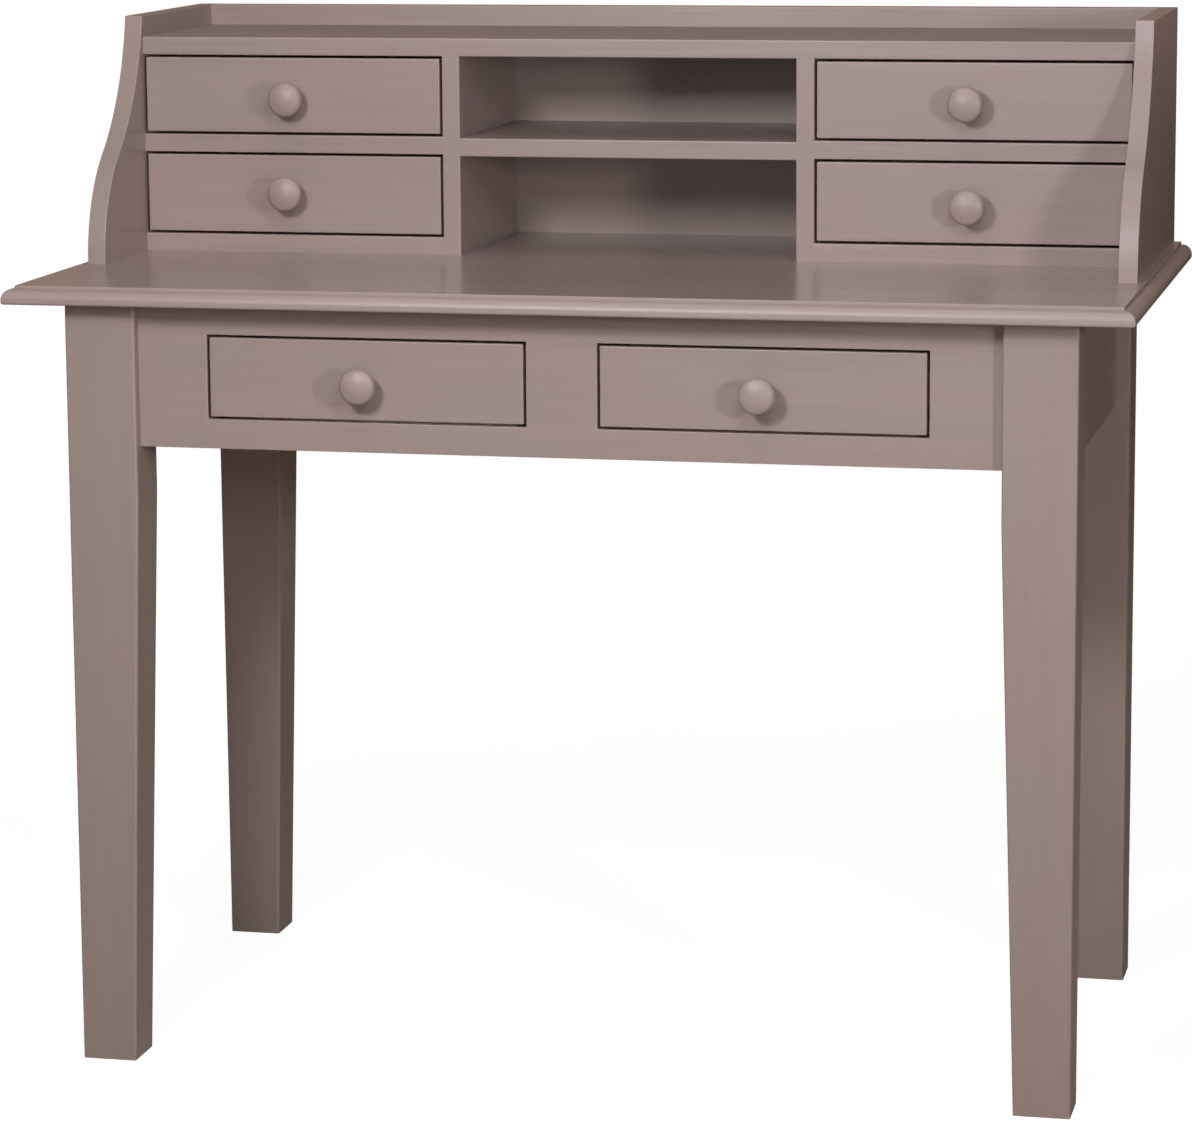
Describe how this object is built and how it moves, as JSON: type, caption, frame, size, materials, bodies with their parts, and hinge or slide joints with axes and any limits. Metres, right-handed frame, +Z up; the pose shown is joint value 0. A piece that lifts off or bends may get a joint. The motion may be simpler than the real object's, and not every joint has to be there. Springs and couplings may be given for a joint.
{
  "type": "bonheur du jour",
  "caption": "Painted writing desk on square tapered legs, with a moulded top, drawers below it, and a low back structure of small drawers and open bays between ogee side panels.",
  "frame": {"origin": "on the floor, under the middle of the whole piece", "axes": "+X to the right as seen from the front, +Y to the back, +Z up; the drawers open towards -Y"},
  "size_m": [1.1, 0.592, 1.0265],
  "materials": {
    "painted_wood": "satin taupe paint over wood, faint brush and grain lines",
    "bare_wood": "planed, unpainted",
    "drawer_bottom_ply": "sanded plywood, unpainted"
  },
  "bodies": {
    "carcase": {"back_panel": "painted_wood", "centre_runner": "bare_wood", "centre_shelf": "painted_wood", "desktop": "painted_wood", "drawer_kickers": "bare_wood", "front_bottom_rail": "painted_wood", "front_centre_stile": "painted_wood", "front_left_leg": "painted_wood", "front_left_stile": "painted_wood", "front_right_leg": "painted_wood", "front_right_stile": "painted_wood", "front_top_rail": "painted_wood", "gallery_rail": "painted_wood", "hutch_dowels": "bare_wood", "left_apron": "painted_wood", "left_base_board": "painted_wood", "left_divider": "painted_wood", "left_partition": "painted_wood", "left_side_panel": "painted_wood", "rear_apron": "painted_wood", "rear_left_leg": "painted_wood", "rear_right_leg": "painted_wood", "right_apron": "painted_wood", "right_base_board": "painted_wood", "right_divider": "painted_wood", "right_partition": "painted_wood", "right_side_panel": "painted_wood", "side_runners": "bare_wood", "top_board": "painted_wood", "top_buttons": "bare_wood"},
    "left_upper_drawer": {"left_upper_drawer_back": "bare_wood", "left_upper_drawer_bottom": "drawer_bottom_ply", "left_upper_drawer_front": "painted_wood", "left_upper_drawer_knob": "painted_wood", "left_upper_drawer_sides": "bare_wood"},
    "right_upper_drawer": {"right_upper_drawer_back": "bare_wood", "right_upper_drawer_bottom": "drawer_bottom_ply", "right_upper_drawer_front": "painted_wood", "right_upper_drawer_knob": "painted_wood", "right_upper_drawer_sides": "bare_wood"},
    "left_lower_drawer": {"left_lower_drawer_back": "bare_wood", "left_lower_drawer_bottom": "drawer_bottom_ply", "left_lower_drawer_front": "painted_wood", "left_lower_drawer_knob": "painted_wood", "left_lower_drawer_sides": "bare_wood"},
    "right_lower_drawer": {"right_lower_drawer_back": "bare_wood", "right_lower_drawer_bottom": "drawer_bottom_ply", "right_lower_drawer_front": "painted_wood", "right_lower_drawer_knob": "painted_wood", "right_lower_drawer_sides": "bare_wood"},
    "left_desk_drawer": {"left_desk_drawer_back": "bare_wood", "left_desk_drawer_bottom": "drawer_bottom_ply", "left_desk_drawer_front": "painted_wood", "left_desk_drawer_knob": "painted_wood", "left_desk_drawer_sides": "bare_wood"},
    "right_desk_drawer": {"right_desk_drawer_back": "bare_wood", "right_desk_drawer_bottom": "drawer_bottom_ply", "right_desk_drawer_front": "painted_wood", "right_desk_drawer_knob": "painted_wood", "right_desk_drawer_sides": "bare_wood"}
  },
  "joints": [
    {"name": "left_upper_drawer_slide", "type": "slide", "parent": "carcase", "child": "left_upper_drawer", "axis": [0, -1, 0], "range_m": [0, 0.16]},
    {"name": "right_upper_drawer_slide", "type": "slide", "parent": "carcase", "child": "right_upper_drawer", "axis": [0, -1, 0], "range_m": [0, 0.16]},
    {"name": "left_lower_drawer_slide", "type": "slide", "parent": "carcase", "child": "left_lower_drawer", "axis": [0, -1, 0], "range_m": [0, 0.16]},
    {"name": "right_lower_drawer_slide", "type": "slide", "parent": "carcase", "child": "right_lower_drawer", "axis": [0, -1, 0], "range_m": [0, 0.16]},
    {"name": "left_desk_drawer_slide", "type": "slide", "parent": "carcase", "child": "left_desk_drawer", "axis": [0, -1, 0], "range_m": [0, 0.3]},
    {"name": "right_desk_drawer_slide", "type": "slide", "parent": "carcase", "child": "right_desk_drawer", "axis": [0, -1, 0], "range_m": [0, 0.3]}
  ]
}
